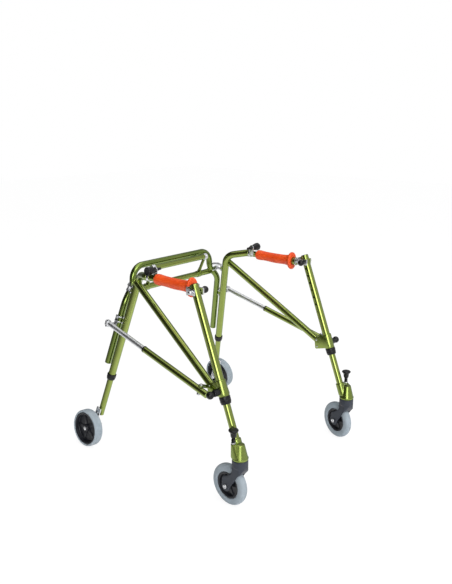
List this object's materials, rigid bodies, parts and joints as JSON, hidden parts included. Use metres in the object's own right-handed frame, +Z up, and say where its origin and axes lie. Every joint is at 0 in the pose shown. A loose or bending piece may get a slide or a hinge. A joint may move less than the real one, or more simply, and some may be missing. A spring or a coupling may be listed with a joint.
{
  "type": "folding reverse walker",
  "caption": "Lime-green folding reverse walker for a child, with a rear bow, orange handle grips, swivelling front casters and fixed rear wheels.",
  "frame": {"origin": "middle of the walker on the floor: in the plane of symmetry, halfway between its foremost and rearmost points", "axes": "+X to the user's left, -Y the walking direction (the rear bow is at +Y), +Z up"},
  "size_m": [0.7204, 0.7358, 0.6598],
  "materials": {
    "green_anodised": "lime-green anodised, glossy",
    "bright_alloy": "bright polished",
    "black_plastic": "satin black moulding",
    "slate_plastic": "satin dark slate moulding",
    "grey_tyre": "matte pale grey solid tread",
    "orange_vinyl": "soft satin orange vinyl"
  },
  "bodies": {
    "rear_frame": {"rear_bow_tube": "green_anodised", "lower_crossbar_tube": "green_anodised", "back_bar": "green_anodised", "right_upper_hinge_bracket": "bright_alloy", "right_lower_hinge_bracket": "bright_alloy", "left_upper_hinge_bracket": "bright_alloy", "left_lower_hinge_bracket": "bright_alloy"},
    "right_side_frame": {"right_front_upright_tube": "green_anodised", "right_gusset_bracket": "green_anodised", "right_diagonal_brace": "green_anodised", "right_rear_leg_tube": "green_anodised", "right_front_leg_bushing": "black_plastic", "right_rear_leg_bushing": "black_plastic", "right_handle_bar": "green_anodised", "right_handle_grip": "orange_vinyl", "right_handle_clamp": "bright_alloy", "right_leg_lock_barrel": "black_plastic"},
    "right_front_leg": {"right_front_leg_tube": "green_anodised", "right_caster_housing": "green_anodised"},
    "right_caster": {"right_caster_fork": "slate_plastic", "right_front_axle_bolt": "bright_alloy"},
    "right_front_wheel": {"right_front_wheel_hub": "black_plastic", "right_front_wheel_tyre": "grey_tyre"},
    "right_swivel_plunger": {"right_swivel_lock_plunger": "black_plastic"},
    "right_rear_leg": {"right_rear_leg_inner_tube": "green_anodised", "right_rear_axle_bracket": "bright_alloy"},
    "right_rear_wheel": {"right_rear_wheel_hub": "black_plastic", "right_rear_wheel_tyre": "grey_tyre"},
    "right_strut_outer": {"right_strut_outer_tube": "green_anodised"},
    "right_strut_inner": {"right_strut_inner_rod": "bright_alloy"},
    "right_handle_knob": {"right_handle_lock_knob": "black_plastic"},
    "right_leg_knob": {"right_leg_lock_knob": "black_plastic"},
    "right_corner_knob": {"right_rear_corner_knob": "black_plastic"},
    "left_side_frame": {"left_front_upright_tube": "green_anodised", "left_gusset_bracket": "green_anodised", "left_diagonal_brace": "green_anodised", "left_rear_leg_tube": "green_anodised", "left_front_leg_bushing": "black_plastic", "left_rear_leg_bushing": "black_plastic", "left_handle_bar": "green_anodised", "left_handle_grip": "orange_vinyl", "left_handle_clamp": "bright_alloy", "left_leg_lock_barrel": "black_plastic"},
    "left_front_leg": {"left_front_leg_tube": "green_anodised", "left_caster_housing": "green_anodised"},
    "left_caster": {"left_caster_fork": "slate_plastic", "left_front_axle_bolt": "bright_alloy"},
    "left_front_wheel": {"left_front_wheel_hub": "black_plastic", "left_front_wheel_tyre": "grey_tyre"},
    "left_swivel_plunger": {"left_swivel_lock_plunger": "black_plastic"},
    "left_rear_leg": {"left_rear_leg_inner_tube": "green_anodised", "left_rear_axle_bracket": "bright_alloy"},
    "left_rear_wheel": {"left_rear_wheel_hub": "black_plastic", "left_rear_wheel_tyre": "grey_tyre"},
    "left_strut_outer": {"left_strut_outer_tube": "green_anodised"},
    "left_strut_inner": {"left_strut_inner_rod": "bright_alloy"},
    "left_handle_knob": {"left_handle_lock_knob": "black_plastic"},
    "left_leg_knob": {"left_leg_lock_knob": "black_plastic"},
    "left_corner_knob": {"left_rear_corner_knob": "black_plastic"}
  },
  "joints": [
    {"name": "right_side_fold", "type": "hinge", "parent": "rear_frame", "child": "right_side_frame", "pos_m": [-0.23162, 0.20335, 0.48448], "axis": [0.1597, -0.2555, 0.9535], "range_deg": [0, 65]},
    {"name": "right_strut_swing", "type": "hinge", "parent": "right_side_frame", "child": "right_strut_outer", "pos_m": [-0.3108, -0.20968, 0.34354], "axis": [0.1597, -0.2555, 0.9535], "range_deg": [-4.56, 0]},
    {"name": "right_strut_slide", "type": "slide", "parent": "right_strut_outer", "child": "right_strut_inner", "axis": [0.0355, 0.9692, 0.2439], "range_m": [0, 0.04942]},
    {"name": "right_front_leg_height", "type": "slide", "parent": "right_side_frame", "child": "right_front_leg", "axis": [-0.0053, -0.3554, -0.9347], "range_m": [-0.0254, 0.0762]},
    {"name": "right_rear_leg_height", "type": "slide", "parent": "right_side_frame", "child": "right_rear_leg", "axis": [-0.1597, 0.2555, -0.9535], "range_m": [-0.0254, 0.0762]},
    {"name": "right_caster_swivel", "type": "hinge", "parent": "right_front_leg", "child": "right_caster", "pos_m": [-0.284, -0.34165, 0.16], "axis": [0, 0, 1], "continuous": true},
    {"name": "right_front_wheel_spin", "type": "hinge", "parent": "right_caster", "child": "right_front_wheel", "pos_m": [-0.28191, -0.3017, 0.0635], "axis": [0.9986, -0.0523, 0], "continuous": true},
    {"name": "right_rear_wheel_spin", "type": "hinge", "parent": "right_rear_leg", "child": "right_rear_wheel", "pos_m": [-0.3385, 0.30435, 0.0648], "axis": [-0.9945, 0, 0.1045], "continuous": true},
    {"name": "right_swivel_plunger_lift", "type": "slide", "parent": "right_front_leg", "child": "right_swivel_plunger", "axis": [0, 0, 1], "range_m": [0, 0.008]},
    {"name": "right_handle_knob_pull", "type": "slide", "parent": "right_side_frame", "child": "right_handle_knob", "axis": [1, 0, 0], "range_m": [0, 0.008]},
    {"name": "right_leg_knob_pull", "type": "slide", "parent": "right_side_frame", "child": "right_leg_knob", "axis": [-1, 0, 0], "range_m": [0, 0.008]},
    {"name": "right_corner_knob_turn", "type": "hinge", "parent": "right_side_frame", "child": "right_corner_knob", "pos_m": [-0.236, 0.05135, 0.646], "axis": [-1, 0, 0], "continuous": true},
    {"name": "left_side_fold", "type": "hinge", "parent": "rear_frame", "child": "left_side_frame", "pos_m": [0.23162, 0.20335, 0.48448], "axis": [-0.1597, -0.2555, 0.9535], "range_deg": [-65, 0]},
    {"name": "left_strut_swing", "type": "hinge", "parent": "left_side_frame", "child": "left_strut_outer", "pos_m": [0.3108, -0.20968, 0.34354], "axis": [-0.1597, -0.2555, 0.9535], "range_deg": [0, 4.56]},
    {"name": "left_strut_slide", "type": "slide", "parent": "left_strut_outer", "child": "left_strut_inner", "axis": [-0.0355, 0.9692, 0.2439], "range_m": [0, 0.04942]},
    {"name": "left_front_leg_height", "type": "slide", "parent": "left_side_frame", "child": "left_front_leg", "axis": [0.0053, -0.3554, -0.9347], "range_m": [-0.0254, 0.0762]},
    {"name": "left_rear_leg_height", "type": "slide", "parent": "left_side_frame", "child": "left_rear_leg", "axis": [0.1597, 0.2555, -0.9535], "range_m": [-0.0254, 0.0762]},
    {"name": "left_caster_swivel", "type": "hinge", "parent": "left_front_leg", "child": "left_caster", "pos_m": [0.284, -0.34165, 0.16], "axis": [0, 0, 1], "continuous": true},
    {"name": "left_front_wheel_spin", "type": "hinge", "parent": "left_caster", "child": "left_front_wheel", "pos_m": [0.29502, -0.3032, 0.0635], "axis": [0.9613, -0.2756, 0], "continuous": true},
    {"name": "left_rear_wheel_spin", "type": "hinge", "parent": "left_rear_leg", "child": "left_rear_wheel", "pos_m": [0.3385, 0.30435, 0.0648], "axis": [0.9945, 0, 0.1045], "continuous": true},
    {"name": "left_swivel_plunger_lift", "type": "slide", "parent": "left_front_leg", "child": "left_swivel_plunger", "axis": [0, 0, 1], "range_m": [0, 0.008]},
    {"name": "left_handle_knob_pull", "type": "slide", "parent": "left_side_frame", "child": "left_handle_knob", "axis": [-1, 0, 0], "range_m": [0, 0.008]},
    {"name": "left_leg_knob_pull", "type": "slide", "parent": "left_side_frame", "child": "left_leg_knob", "axis": [1, 0, 0], "range_m": [0, 0.008]},
    {"name": "left_corner_knob_turn", "type": "hinge", "parent": "left_side_frame", "child": "left_corner_knob", "pos_m": [0.236, 0.05135, 0.646], "axis": [1, 0, 0], "continuous": true}
  ],
  "couplings": [
    {"joint": "right_strut_swing", "follows": "right_side_fold", "ratio": -0.069965},
    {"joint": "right_strut_slide", "follows": "right_side_fold", "m_per_rad": 0.043513},
    {"joint": "left_strut_swing", "follows": "left_side_fold", "ratio": -0.069965},
    {"joint": "left_strut_slide", "follows": "left_side_fold", "m_per_rad": -0.043513}
  ]
}
